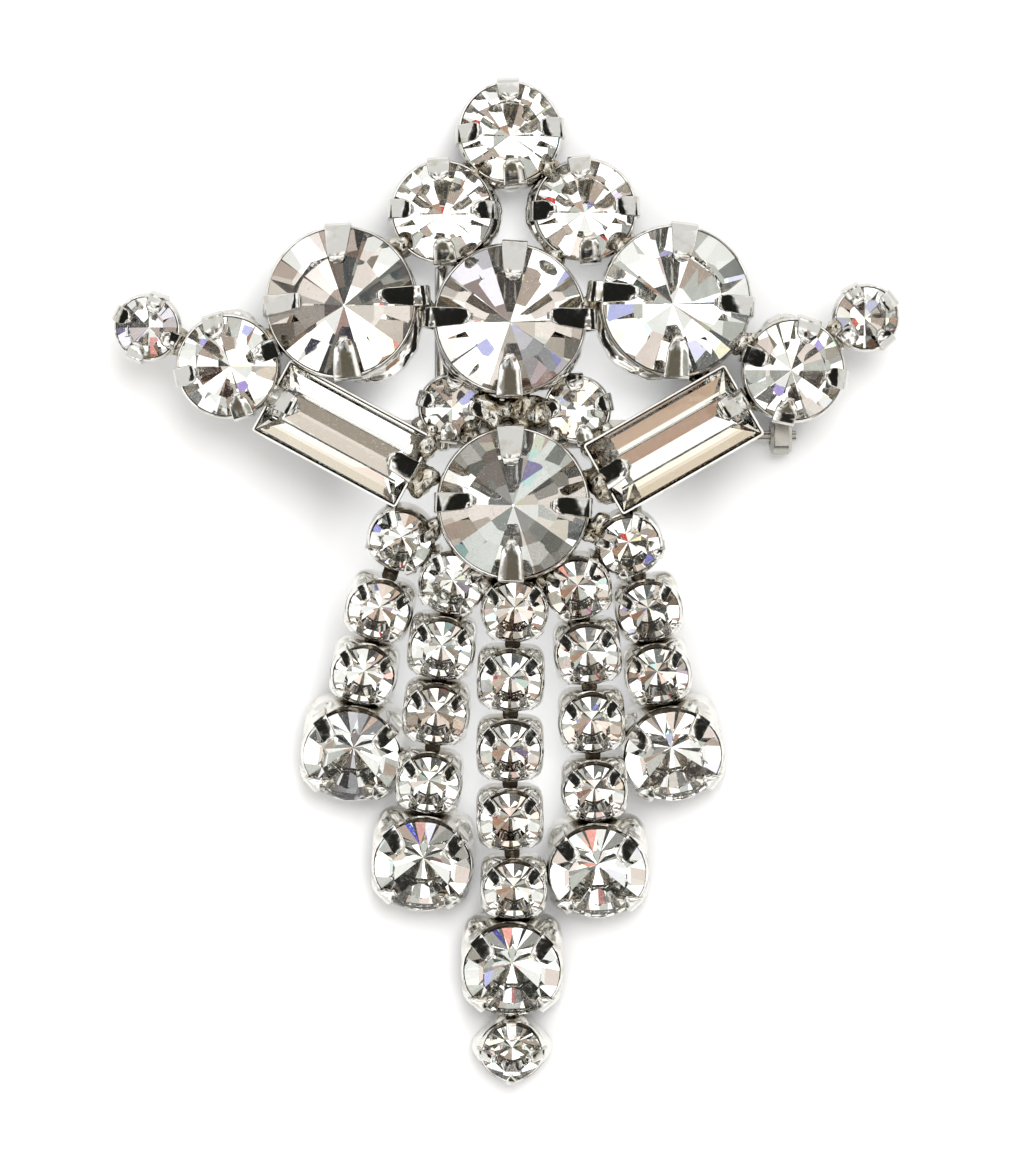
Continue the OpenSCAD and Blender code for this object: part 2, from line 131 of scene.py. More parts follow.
# Turns of each body stone's four claws, in degrees counter-clockwise from the right, and their slopes
CLAW_TURNS = {
    "top": ((5, 93, 183, 275), "LTLB"),
    "row2_left": ((1.5, 95, 177.5, 272), "MTLB"),
    "row2_right": ((4.4, 95.5, 182, 275.4), "LTDB"),
    "big_left": ((5, 93, 184, 276), "XTLD"),
    "big_centre": ((0, 87, 180, 270), "XTXD"),
    "big_right": ((-4, 84, 173, 269), "MTXD"),
    "big_bottom": ((-3, 92, 180, 269), "MTMD"),
    "arm_left": ((20, 108, 194, 287), "MTLD"),
    "arm_right": ((-11, 71, 161, 259), "MTLM"),
    "tip_left": ((68, 153, 247, 335), "LDLM"),
    "tip_right": ((38, 120, 225, 310), "LLLM"),
    "small_left": ((-6, 83, 166, 264), "DTMD"),
    "small_right": ((13, 94, 182, 286), "MTDD"),
}

# Baguettes: length, width, height of the crown and depth, then the claw at each end as above
BAGUETTES = ("baguette_left", "baguette_right")
BAG = dict(l=12.0, w=5.65, crown=1.1, depth=2.55)
BAG_CLAW = dict(root=1.8, tip=1.5, reach=2.0, thick=0.36, bevel=0.09, curl=0.34, nose=0.8, dome=0.1)

# Strands, from left to right, with their numbers of stones
STRANDS = range(1, 6)
STRAND_LENGTHS = (4, 5, 7, 5, 4)
MIDDLE_STRAND = 3

# Seeds of the random draws
SEEDS = {"body": 11, "solder": 5, "seams": 31, "strands": 100}

# Least height of the normal of a facet that looks up, and least dot product of the normals of one table
LOOKS_UP = 0.7
PARALLEL = 0.9998


def smooth(x):
    """Eases from 0 to 1 as x does."""
    x = min(1.0, max(0.0, x))
    return x * x * (3 - 2 * x)


# Frames of the stones, from the CAD solids

def table_of(mesh):
    """Normal and centre in millimetres of the largest flat face that looks up."""
    up = [(f.normal.copy(), f.area, f.center.copy()) for f in mesh.polygons if f.normal.z > LOOKS_UP]
    best = (0.0, None)
    for normal, _, _ in up:
        total = sum(area for other, area, _ in up if other.dot(normal) > PARALLEL)
        if total > best[0] * 1.0001:
            best = (total, normal)
    flat = [(n, a, c) for n, a, c in up if n.dot(best[1]) > PARALLEL]
    total = sum(a for _, a, _ in flat)
    normal = sum((n * a for n, a, _ in flat), Vector()).normalized()
    centre = sum((c * a for _, a, c in flat), Vector()) / total
    return normal, centre / MM


def stone_frame(name):
    """Matrix of a stone and its kind: origin in the girdle plane, X to the right, Z along its axis."""
    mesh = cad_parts[name].data
    axis, centre = table_of(mesh)
    across = (Vector((1, 0, 0)) - axis * axis.x).normalized()
    along = axis.cross(across)
    spokes = [v.co / MM - centre for v in mesh.vertices]
    radius = max((spoke - axis * spoke.dot(axis)).length for spoke in spokes)
    if name in BAGUETTES:
        crown = BAG["crown"]
    else:
        kind = min(KINDS, key=lambda k: abs(KINDS[k]["r"] - radius))
        crown = KINDS[kind]["crown"]
    origin = centre - axis * crown
    place = Matrix((across, along, axis)).transposed().to_4x4()
    place.translation = origin
    if name in BAGUETTES:
        flat = [place.inverted() @ (v.co / MM) for v in mesh.vertices]
        xx = sum(p.x * p.x for p in flat)
        yy = sum(p.y * p.y for p in flat)
        xy = sum(p.x * p.y for p in flat)
        return place @ Matrix.Rotation(0.5 * math.atan2(2 * xy, xx - yy), 4, "Z"), "baguette"
    return place, kind


STONE_NAMES = [name for name in sorted(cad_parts) if name.startswith(("stone_", "baguette_"))]
STONES = {name: stone_frame(name) for name in STONE_NAMES}

# Leaning plane of the body, whose origin lies this far from the big centre stone
CENTRE_UV = Vector((-0.15, 20.5, 0))
LEANING = STONES["stone_big_centre"][0] @ Matrix.Translation(-CENTRE_UV)


# Shapes: a shape is a pair of lists, points and faces

def loft(rings):
    """Closed skin over rings of points, with a flat cap at each end."""
    n = len(rings[0])
    points = [Vector(p) for ring in rings for p in ring]
    faces = []
    for j in range(len(rings) - 1):
        for i in range(n):
            a = j * n + i
            b = j * n + (i + 1) % n
            faces.append((a, b, b + n, a + n))
    faces.append(tuple(reversed(range(n))))
    faces.append(tuple(range((len(rings) - 1) * n, len(rings) * n)))
    return points, faces


def placed(shape, matrix):
    """Shape moved by a matrix."""
    points, faces = shape
    return [matrix @ p for p in points], faces


def joined(shapes):
    """Several shapes as one."""
    points = []
    faces = []
    for some_points, some_faces in shapes:
        start = len(points)
        points.extend(some_points)
        faces.extend(tuple(i + start for i in face) for face in some_faces)
    return points, faces


def show(thing):
    """Links an object into the scene."""
    bpy.context.scene.collection.objects.link(thing)


def make_piece(name, shape, material, sharp=32):
    """Object of that shape, scaled to metres. Edges that turn by more than sharp degrees stay sharp."""
    mesh = bpy.data.meshes.new(name)
    mesh.from_pydata([p * MM for p in shape[0]], [], shape[1])
    skin = bmesh.new()
    skin.from_mesh(mesh)
    bmesh.ops.recalc_face_normals(skin, faces=skin.faces)
    skin.to_mesh(mesh)
    skin.free()
    mesh.polygons.foreach_set("use_smooth", [True] * len(mesh.polygons))
    mesh.set_sharp_from_angle(angle=math.radians(sharp))
    mesh.materials.append(material)
    piece = bpy.data.objects.new(name, mesh)
    show(piece)
    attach(piece, "root")
    return piece


def bend(start, corner, end, steps=5):
    """Points of the curve that leaves start towards corner and arrives at end from it."""
    start = Vector(start)
    corner = Vector(corner)
    end = Vector(end)
    shares = [i / steps for i in range(steps + 1)]
    return [start * (1 - t) ** 2 + corner * 2 * t * (1 - t) + end * t ** 2 for t in shares]


def strap(path, size, chance, bent=0):
    """Flat strap along a path in the XZ plane, narrowing from the point bent to a rounded tip."""
    lengths = [0.0]
    for a, b in zip(path, path[1:]):
        lengths.append(lengths[-1] + (b - a).length)
    length = lengths[-1]
    shoulder = lengths[bent]
    root = size["root"] * chance.uniform(*ROOT_VARIES)
    tip = size["tip"] * chance.uniform(*TIP_VARIES)
    thick = size["thick"] * chance.uniform(*TIP_VARIES)
    skew = chance.uniform(-TIP_SKEW, TIP_SKEW)
    rings = []
    for i, spot in enumerate(path):
        s = lengths[i]
        along = (path[min(i + 1, len(path) - 1)] - path[max(i - 1, 0)]).normalized()
        out = Vector((along.z, 0, -along.x))
        share = max(0.0, s - shoulder) / (length - shoulder)
        end = min(1.0, max(0.0, 1 - (length - s - NOSE_OFF * size["curl"]) / size["nose"]))
        half = (root * (1 - share) + tip * share) / 2 * (1 - NOSE_LOSS * end ** NOSE_BLUNT) ** 0.5
        flat = thick / 2 * (1 - NOSE_THIN * end)
        bevel = min(size["bevel"], half * 0.45, flat * 0.8)
        cut = bevel * 0.3
        side = skew * smooth(share) ** 2
        section = [
            (-half + bevel, -flat), (0, -flat), (half - bevel, -flat), (half - cut, -flat + cut),
            (half, -flat + bevel), (half, flat - bevel), (half - cut, flat - cut), (half - bevel, flat),
            (0, flat * (1 + size["dome"])), (-half + bevel, flat), (-half + cut, flat - cut),
            (-half, flat - bevel), (-half, -flat + bevel), (-half + cut, -flat + cut),
        ]
        rings.append([spot + Vector((0, side + y, 0)) - out * h for y, h in section])
    return loft(rings)


def crown_height(kind, x):
    """Highest point of a round stone's crown at a distance x from its axis."""
    k = KINDS[kind]
    edge = k["r"] * GIRDLE
    slope = (k["crown"] - edge) / (k["r"] - k["table"])
    return min(k["crown"], edge + (k["r"] - x) * slope)


def sloped_face(start, level, run, slopes, steps=6):
    """Path of a claw's middle over the stone, from its shoulder to the start of its curled tip."""
    first, last = slopes
    path = []
    for i in range(steps + 1):
        t = i / steps
        rise = first * t + (last - first) * t * t / 2
        path.append(Vector((start - run * t, 0, level + run * rise)))
    return path


def hooked(outside, low_points, face, size, slope, landing, wide=0):
    """Whole path of a claw: up the wall, over the shoulder, along the face, down to the height landing."""
    end = face[-1]
    over = Vector((end.x - size["curl"], 0, end.z + size["curl"] * slope))
    path = [Vector(p) for p in low_points]
    edge = outside + wide
    path += bend((edge, 0, -0.3 - 0.4 * wide), (edge, 0, face[0].z - 0.05 + 0.03 * wide), face[0])
    bent = len(path) - 1
    path += face[1:]
    path += bend(end, over, (over.x, 0, landing), 7)[1:]
    return path, bent


def claw(kind, size, turn, tone, wall, chance):
    """One claw of a round setting."""
    k = KINDS[kind]
    reach = size["reach"] * (LOW_REACH if tone == "W" else 1)
    outside = k["r"] + GAP + WALL * 0.3 + size["thick"] / 2
    low = -CLAW_FOOT * k["depth"]
    level = FACE_RISE + size["thick"] / 2
    face = sloped_face(k["r"] + GAP, level, reach + GAP - size["curl"], SLOPES[tone])
    low_points = [(knee(kind, wall, low) + size["thick"] / 2, 0, low), (outside, 0, low / 2)]
    landing = crown_height(kind, face[-1].x - size["curl"]) + size["thick"] * 0.25
    wide = SHOULDER if tone == "X" else 0
    if size is BODY_CLAWS.get(kind) and abs(math.cos(math.radians(turn))) > SIDE_COSINE:
        narrow = SIDE_WIDTH[kind]
        size = dict(size, root=size["root"] * narrow, tip=size["tip"] * (1 + narrow) / 2)
    path, bent = hooked(outside, low_points, face, size, SLOPES[tone][1], landing, wide)
    uneven = chance.uniform(-TURN_VARIES, TURN_VARIES)
    turned = Matrix.Rotation(math.radians(turn + uneven), 4, "Z")
    return placed(strap(path, size, chance, bent), turned)


def knee(kind, wall, z):
    """Outer radius of a bowl at a height z: upright below the girdle, then rounding in to the foot."""
    k = KINDS[kind]
    outside = k["r"] + GAP + WALL
    shelf = k["foot"] + (outside - k["foot"]) * wall["upright"]
    down = min(1.0, max(0.0, (-z / k["depth"] - wall["straight"]) / (1 - wall["straight"])))
    under = min(1.0, max(0.0, (-z / k["depth"] - 0.8) / 0.2))
    radius = shelf + (outside - shelf) * (1 - down ** 2.2)
    return radius - (radius - k["foot"]) * under ** 2


def squared(turn, corner, power):
    """Radius of a rounded square with unit half width and a corner at that turn, circular at power 2."""
    a = turn - corner + math.pi / 4
    return (abs(math.cos(a)) ** power + abs(math.sin(a)) ** power) ** (-1 / power)


# Shares of a bowl's depth at which its wall is drawn, from the foot up
BOWL_LEVELS = (0.97, 0.92, 0.85, 0.75, 0.62, 0.45, 0.3, 0.16)


def bowl_profile(kind, wall):
    """Section of a bowl from its hole round to its hole: radius, height, share of the unevenness."""
    k = KINDS[kind]
    inside = k["r"] + FIT
    outside = k["r"] + GAP + WALL
    rim = GAP
    low = -k["depth"]
    thick = wall["rim"]
    profile = [(k["hole"], low, 0), (knee(kind, wall, low) - 0.2, low, 0)]
    profile += [(knee(kind, wall, low * share), low * share, max(0, 0.4 - share)) for share in BOWL_LEVELS]
    profile += [
        (outside, -0.35, 0.3), (inside + thick, rim - 0.1, 1), (inside + thick - 0.05, rim - 0.01, 1),
        (inside + 0.04, rim, 1), (inside, rim - 0.05, 1),
    ]
    profile += [
        (min(inside, knee(kind, wall, low * share) - WALL), low * share, max(0, 0.4 - share))
        for share in BOWL_LEVELS[::-1][:-1]
    ]
    profile += [(knee(kind, wall, low) - WALL - 0.1, low + WALL, 0), (k["hole"], low + WALL, 0)]
    return profile


def bowl(kind, claw_turns, wall, chance, sides=72, dip=0.0):
    """Thin round wall with a holed floor, its rim a little uneven and lower between the claws by dip."""
    k = KINDS[kind]
    phase = chance.uniform(0, 6.28)
    rings = []
    for r, z, share in bowl_profile(kind, wall):
        ring = []
        for i in range(sides):
            a = 2 * math.pi * i / sides
            near = min(abs((math.degrees(a) - t + 180) % 360 - 180) for t in claw_turns)
            fall = dip * smooth((near - DIP_FROM) / DIP_OVER)
            wave = 0.035 * math.sin(3 * a + phase) + 0.025 * math.sin(7 * a + 2 * phase)
            down = -z / k["depth"]
            power = 2 + wall["square"] * smooth((down - 0.12) * 2.5) * (1 - smooth((down - 0.7) * 3.4))
            spread = r * squared(a, math.radians(claw_turns[0]), power)
            spread += 0.03 * math.sin(2 * a + phase) * share
            ring.append((spread * math.cos(a), spread * math.sin(a), z + share * (wave - fall)))
        rings.append(ring)
    return ring_loft(rings)


def ring_loft(rings):
    """Closed skin over rings that start and end at the same hole."""
    points, faces = loft(rings)
    n = len(rings[0])
    last = len(points) - n
    bridge = [(i, last + i, last + (i + 1) % n, (i + 1) % n) for i in range(n)]
    return points, faces[:-2] + bridge


def round_setting(kind, sizes, turns, tones, wall, chance, dip=0.0):
    """Bowl with its claws."""
    shapes = [bowl(kind, turns, wall, chance, dip=dip)]
    shapes.extend(claw(kind, sizes[kind], turn, tone, wall, chance) for turn, tone in zip(turns, tones))
    return joined(shapes)


def block(half_l, half_w, z, corner, n=6):
    """Rounded rectangle as one ring of points."""
    ring = []
    for quarter in range(4):
        cx = (half_l - corner) * (1 if quarter in (0, 3) else -1)
        cy = (half_w - corner) * (1 if quarter in (0, 1) else -1)
        for i in range(n):
            a = math.pi / 2 * (quarter + i / (n - 1))
            ring.append((cx + corner * math.cos(a), cy + corner * math.sin(a), z))
    return ring


# Rings of a tray, from under its floor over the rim to its inside: how far they stand out from the
# opening along its length and its width, height, and radius of the corners
TRAY_LOW = -BAG["depth"]
TRAY_RINGS = (
    (-0.5, -0.6, TRAY_LOW, 0.3), (-0.2, -0.3, TRAY_LOW + 0.1, 0.3), (WALL, WALL, -0.8, 0.3),
    (WALL, WALL, -0.06, 0.3), (WALL * 0.8, WALL * 0.8, 0, 0.25), (0.05, 0.05, 0, 0.12),
    (0, 0, -0.06, 0.1), (0, 0, -0.8, 0.1), (-0.5, -0.6, TRAY_LOW + WALL, 0.1),
)


def tray(centre_x, chance):
    """Open tray of a baguette with a claw at each end, the dark one towards the middle of the brooch."""
    half_l = BAG["l"] / 2 + GAP
    half_w = BAG["w"] / 2 + GAP
    shapes = [loft([block(half_l + l, half_w + w, z, corner) for l, w, z, corner in TRAY_RINGS])]
    outside = half_l + WALL * 0.3 + BAG_CLAW["thick"] / 2
    inner = 0 if centre_x < 0 else 180
    for side, tone in ((inner, "D"), (180 - inner, "L")):
        face = sloped_face(half_l, 0.3, BAG_CLAW["reach"] + GAP - BAG_CLAW["curl"], SLOPES[tone])
        low_points = [(outside, 0, TRAY_LOW + 0.2), (outside, 0, -1)]
        path, bent = hooked(outside, low_points, face, BAG_CLAW, SLOPES[tone][1], BAG["crown"] + 0.05)
        turned = Matrix.Rotation(math.radians(side), 4, "Z")
        shapes.append(placed(strap(path, BAG_CLAW, chance, bent), turned))
    return joined(shapes)


# Section of a collar of solder: share of the width, height, share of the unevenness. Then steps along it
COLLAR_SECTION = (
    (0, -2.3, 0), (0.6, -2.3, 0), (1, -1.5, 0), (0.92, -0.75, 1), (0.5, -0.42, 1), (0, -0.3, 0),
)
COLLAR_STEPS = 18


def collar(kind, first, last, wide, chance):
    """Crescent of solder against the outside of a round setting, between two turns in degrees."""
    inside = KINDS[kind]["r"] + GAP + WALL - 0.06
    rings = []
    for i in range(COLLAR_STEPS + 1):
        t = i / COLLAR_STEPS
        a = math.radians(first + (last - first) * t)
        out = 0.05 + wide * math.sin(math.pi * t) ** 0.6 * chance.uniform(0.86, 1.1)
        up = chance.uniform(-0.05, 0.05)
        section = [(inside + out * share, z + up * uneven) for share, z, uneven in COLLAR_SECTION]
        rings.append([(r * math.cos(a), r * math.sin(a), z) for r, z in section])
    return loft(rings)


def rod(start, end, radius, sides=20):
    """Round rod from start to end, with rounded ends."""
    start = Vector(start)
    end = Vector(end)
    along = (end - start).normalized()
    length = (end - start).length
    turn = along.to_track_quat("Z", "Y").to_matrix().to_4x4()
    turns = [2 * math.pi * i / sides for i in range(sides)]
    ends = ((0, 0.6), (0.12, 0.9), (0.3, 1))
    rings = []
    for z, share in ends + tuple((length - z, share) for z, share in reversed(ends)):
        r = radius * share
        rings.append([(r * math.cos(a), r * math.sin(a), z) for a in turns])
    return placed(loft(rings), Matrix.Translation(start) @ turn)


# Solder between the settings

# Body stones whose settings are soldered to each other
JOINED = (
    ("top", "row2_left"), ("top", "row2_right"), ("row2_left", "big_centre"), ("row2_right", "big_centre"),
    ("row2_left", "big_left"), ("row2_right", "big_right"), ("big_left", "big_centre"),
    ("big_centre", "big_right"), ("big_left", "arm_left"), ("big_right", "arm_right"),
    ("arm_left", "tip_left"), ("arm_right", "tip_right"), ("big_centre", "small_left"),
    ("big_centre", "small_right"), ("small_left", "big_bottom"), ("small_right", "big_bottom"),
)

# Collars of solder: stone, first and last turn in degrees, width
COLLARS = (
    ("big_left", -84, -6, 1.0), ("big_right", 186, 264, 0.75), ("big_centre", 200, 250, 0.3),
    ("big_centre", 292, 340, 0.3), ("row2_left", -48, 42, 0.6), ("row2_right", 138, 226, 0.6),
    ("top", 232, 308, 0.4), ("arm_left", 60, 100, 0.4), ("arm_right", 85, 125, 0.4),
)

# More lumps, in the leaning plane of the body: place and radius
LUMPS = (
    (-1.6, 13.4, -1.6, 1.35), (1.7, 13.4, -1.6, 1.35), (0.1, 13.5, -2.0, 1.3), (-6.9, 10.6, -1.7, 1.25),
    (6.8, 10.2, -1.7, 1.2), (-6.8, 8.2, -1.9, 1.35), (6.9, 7.8, -1.9, 1.35), (-6.2, 4.6, -2.2, 1.15),
    (6.3, 4.4, -2.2, 1.15), (-6.6, 12.2, -1.9, 0.9), (6.8, 12.0, -1.9, 0.9), (-15.2, 16.4, -2.0, 0.8),
    (14.6, 15.9, -2.0, 0.8), (-18.3, 14.4, -2.1, 0.75), (18.0, 14.4, -2.1, 0.75), (-2.4, 0.6, -2.6, 0.9),
    (2.7, 0.6, -2.6, 0.9),
)

# Lump between two joined settings: how far below the stones' girdles it lies, and its radius
LUMP_BELOW = 0.85
LUMP_R = 1.05

# Each lump is made of balls: how many, how far they spread along X, Y and Z and how big they are, both as
# shares of the lump's radius
BALLS = 7
BALL_SPREAD = (0.36, 0.36, 0.26)
BALL_SIZE = (0.5, 0.8)

# How the balls are melted together: voxel size and steps of smoothing, then height and fineness of the
# coarse and of the fine roughness
VOXEL = 0.13
MELT_STEPS = 18
COARSE = (0.2, 0.9)
FINE = (0.12, 2.3)


def solder_spots():
    """Places of all the lumps, with their radii."""
    spots = []
    for first, second in JOINED:
        place_a, kind_a = STONES["stone_" + first]
        place_b, kind_b = STONES["stone_" + second]
        a = place_a.translation
        b = place_b.translation
        apart = (b - a).length
        edge_a = KINDS[kind_a]["r"] + GAP + WALL
        edge_b = KINDS[kind_b]["r"] + GAP + WALL
        spot = a.lerp(b, (edge_a + (apart - edge_a - edge_b) / 2) / apart)
        spots.append((spot - Vector((0, 0, LUMP_BELOW)), LUMP_R))
    for u, v, w, r in LUMPS:
        spots.append((LEANING @ Vector((u, v, w)), r))
    return spots


def solder_piece(material):
    """Rough lumps: clusters of balls, merged and roughened."""
    chance = random.Random(SEEDS["solder"])
    skin = bmesh.new()
    for spot, r in solder_spots():
        for _ in range(BALLS):
            away = Vector([chance.gauss(0, spread) for spread in BALL_SPREAD]) * r
            size = r * chance.uniform(*BALL_SIZE)
            where = Matrix.Translation((spot + away) * MM)
            bmesh.ops.create_icosphere(skin, subdivisions=2, radius=size * MM, matrix=where)
    mesh = bpy.data.meshes.new("solder")
    skin.to_mesh(mesh)
    skin.free()
    rough = bpy.data.objects.new("solder_balls", mesh)
    show(rough)
    remesh = rough.modifiers.new("Merge", "REMESH")
    remesh.mode = "VOXEL"
    remesh.voxel_size = VOXEL * MM
    melt = rough.modifiers.new("Melt", "SMOOTH")
    melt.iterations = MELT_STEPS
    bpy.context.view_layer.update()
    melted = rough.evaluated_get(bpy.context.evaluated_depsgraph_get())
    merged = bpy.data.meshes.new_from_object(melted)
    bpy.data.objects.remove(rough)
    points = []
    for vertex in merged.vertices:
        p = vertex.co / MM
        push = sum(height * noise.noise(p * fineness) for height, fineness in (COARSE, FINE))
        points.append(p + vertex.normal * push)
    faces = [tuple(face.vertices) for face in merged.polygons]
    bpy.data.meshes.remove(merged)
    make_piece("solder", (points, faces), material, sharp=50)


# Metal pieces of the body

def body_settings(material):
    """Cups, claws, trays and collars of the body, in place of the CAD's metal."""
    chance = random.Random(SEEDS["body"])
    shapes = []
    for name, (turns, tones) in CLAW_TURNS.items():
        place, kind = STONES["stone_" + name]
        shapes.append(placed(round_setting(kind, BODY_CLAWS, turns, tones, BODY_WALL, chance), place))
    for name in BAGUETTES:
        place = STONES[name][0]
        shapes.append(placed(tray(place.translation.x, chance), place))
    for name, first, last, wide in COLLARS:
        place, kind = STONES["stone_" + name]
        shapes.append(placed(collar(kind, first, last, wide, chance), place))
    piece = make_piece("body_settings", joined(shapes), material)
    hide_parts("body_metal")


# Upright rod behind the centre and the two posts to the pin back: ends of the rod and of the right post
# in the leaning plane, and radii
ROD_ENDS = ((-5.4, 10.6, -3.95), (-5.4, 27.6, -3.95))
POST_ENDS = ((13, 12, -4.6), (13, 12, -3.3))
ROD_R = 0.6
POST_R = 1.2


def posts_and_rod(material):
    """Rod behind the centre, and the posts to the pin back."""
    shapes = [rod(*(LEANING @ Vector(end) for end in ROD_ENDS), ROD_R)]
    for side in (-1, 1):
        shapes.append(rod(*(LEANING @ Vector((side * u, v, w)) for u, v, w in POST_ENDS), POST_R))
    make_piece("posts_and_rod", joined(shapes), material)


# Strands

# Turn of a claw of each strand's first cup
FIRST_CLAWS = {1: 18, 2: 27, 3: 47, 4: 63, 5: 77}

# Links: how far from a cup's middle a head lies, length of a head, half widths of the bar and of a head,
# half thickness, and how far below the girdle a link lies
HEAD_IN = {"small": 1.22, "medium": 2.6}
HEAD_L = 0.33
BAR_HALF = 0.6
HEAD_HALF = 0.95
LINK_FLAT = 0.12
LINK_BELOW = 1.35

# Crescents of painted shade between the strands' stones and their rims: greatest width, how many degrees
# of the rim they take, and steps along them
CRESCENT_W = 0.26
CRESCENT_TURN = 118
CRESCENT_STEPS = 24


def strand_places(k):
    """Matrix and kind of each stone of strand k, from the body down."""
    return [STONES[f"stone_strand_{k}_{i + 1}"] for i in range(STRAND_LENGTHS[k - 1])]


def way_down(places, i):
    """Turn, in the cup's own plane, of the way down the strand at cup i."""
    before = places[max(0, i - 1)][0].translation
    after = places[min(len(places) - 1, i + 1)][0].translation
    way = places[i][0].to_3x3().inverted() @ (after - before)
    return math.degrees(math.atan2(way.y, way.x))


def strand_cup(k, i, places, chance):
    """Cup i of strand k, with claws at its corners but on the middle strand's last cup."""
    place, kind = places[i]
    down = way_down(places, i)
    if i == 0:
        first = FIRST_CLAWS[k]
    elif k == MIDDLE_STRAND and i == len(places) - 1:
        first = down
    else:
        first = down + 45
    turns = [first + 90 * j for j in range(4)]
    tones = ["U" if math.sin(math.radians(turn)) > -0.1 else "W" for turn in turns]
    wall = SQUARE_WALL if i else ROUND_WALL
    return placed(round_setting(kind, STRAND_CLAWS, turns, tones, wall, chance, dip=RIM_DIP), place)


def shade_crescent(kind, middle, chance):
    """Dark crescent of painted shade between a stone and the rim of its cup, thickest at the turn middle.
    """
    r = KINDS[kind]["r"]
    wide = CRESCENT_W * chance.uniform(0.8, 1.1)
    rings = []
    for i in range(CRESCENT_STEPS + 1):
        t = i / CRESCENT_STEPS
        a = math.radians(middle + CRESCENT_TURN * (t - 0.5))
        out = 0.03 + wide * math.sin(math.pi * t) ** 0.7 * (1 + 0.25 * math.sin(9 * t + middle))
        section = ((-0.02, -0.15), (out, -0.15), (out, 0.03), (out * 0.5, 0.1), (-0.02, 0.03))
        rings.append([((r + s) * math.cos(a), (r + s) * math.sin(a), z) for s, z in section])
    return loft(rings)


def seams(material):
    """Dark lines of painted shade between the stones of the strands and their cups, on the side towards
    the body.
    """
    chance = random.Random(SEEDS["seams"])
    shapes = []
    for k in STRANDS:
        places = strand_places(k)
        for i, (place, kind) in enumerate(places):
            middle = way_down(places, i) + 180 + chance.uniform(-8, 8)
            shapes.append(placed(shade_crescent(kind, middle, chance), place))
    make_piece("seams", joined(shapes), material)


def link(a, b, kind_a, kind_b):
    """Flat bar between two cups, with a cross head inside each."""
    start = a.translation
    end = b.translation
    along = (end - start).normalized()
    up = a.to_3x3() @ Vector((0, 0, 1))
    across = along.cross(up).normalized()
    up = across.cross(along)
    turn = Matrix((across, along, up)).transposed().to_4x4()
    turn.translation = start - up * LINK_BELOW
    low = HEAD_IN[kind_a]
    high = (end - start).length - HEAD_IN[kind_b]
    parts = ((BAR_HALF, low, high), (HEAD_HALF, low, low + HEAD_L), (HEAD_HALF, high - HEAD_L, high))
    edge = LINK_FLAT / 2
    shapes = []
    for half, s, e in parts:
        rings = []
        for z, inset in ((-LINK_FLAT, edge), (-edge, 0), (edge, 0), (LINK_FLAT, edge)):
            ring = block(half - inset, (e - s) / 2 - inset, z, 0.1)
            rings.append([(x, y + (s + e) / 2, h) for x, y, h in ring])
        shapes.append(placed(loft(rings), turn))
    return joined(shapes)


def strand_pieces(material, dark):
    """Cups of the strands, in place of the CAD's, and the links between them."""
    first_cups = []
    links = []
    for k in STRANDS:
        chance = random.Random(SEEDS["strands"] + k)
        places = strand_places(k)
        cups = [strand_cup(k, i, places, chance) for i in range(len(places))]
        first_cups.append(cups[0])
        links.extend(link(a[0], b[0], a[1], b[1]) for a, b in zip(places, places[1:]))
        name = f"strand_{k}"
        piece = make_piece(name + "_cups", joined(cups[1:]), material)
        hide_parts(name)
    make_piece("first_cups", joined(first_cups), material)
    make_piece("links", joined(links), dark)


# Materials

# For each group of stones, with painted light: how much its foil reflects, brighter or darker by group,
# the share of its facets given painted reflections, and the colours of these reflections
PAINTED_COOL_REFLECTIONS = ((0.34, 0.33, 0.31), (0.56, 0.51, 0.47), (0.64, 0.62, 0.68), (0.5, 0.52, 0.5))
PAINTED_WARM_REFLECTIONS = ((0.93, 0.87, 0.81), (0.72, 0.62, 0.55), (0.88, 0.8, 0.74), (0.48, 0.43, 0.38))
FOILS_AND_PAINTED_LIGHT = {
    "body": (0.96, 0.12, PAINTED_COOL_REFLECTIONS), "big": (0.95, 0.25, PAINTED_COOL_REFLECTIONS), "top": (1.0, 0.0, ()), "row2": (1.0, 0.0, ()),
    "big_bottom": (0.9, 0.46, PAINTED_COOL_REFLECTIONS), "small_left": (0.93, 0.3, PAINTED_WARM_REFLECTIONS), "small_right": (1.0, 0.14, PAINTED_WARM_REFLECTIONS),
    "strand": (1.0, 0.19, PAINTED_WARM_REFLECTIONS), "ends": (1.0, 0.07, PAINTED_COOL_REFLECTIONS),
}

# Colour of the painted shade in the metal's hollows
HOLLOW_SHADE = (0.16, 0.12, 0.07, 1)

# Metals: clean and dull colours; scale, detail, beginning and fullness of the dull patches; reach of the
# painted shade in hollows, and how open a spot is where it is full and gone; beginning and fullness of the
# rough spots, with least and most roughness; scale, depth in metres and strength of the bumps
METALS = {
    "plated_metal": dict(
        clean=(0.67, 0.66, 0.635), dull=(0.56, 0.53, 0.465), patches=(700, 3, 0.5, 0.75),
        hollow_shade=(0.5, 0.15, 0.5), rough=(0.35, 0.8, 0.05, 0.16), bumps=(900, 0.00005, 0.12),
    ),
    "chain_metal": dict(
        clean=(0.8, 0.79, 0.76), dull=(0.62, 0.59, 0.51), patches=(700, 3, 0.5, 0.75),
        hollow_shade=(0.7, 0.15, 0.5), rough=(0.35, 0.8, 0.08, 0.26), bumps=(900, 0.00005, 0.12),
    ),
    "solder_metal": dict(
        clean=(0.7, 0.68, 0.63), dull=(0.4, 0.35, 0.26), patches=(900, 4, 0.42, 0.62),
        hollow_shade=(0.9, 0.2, 0.6), rough=(0.3, 0.8, 0.08, 0.3), bumps=(2200, 0.00012, 0.5),
    ),
}

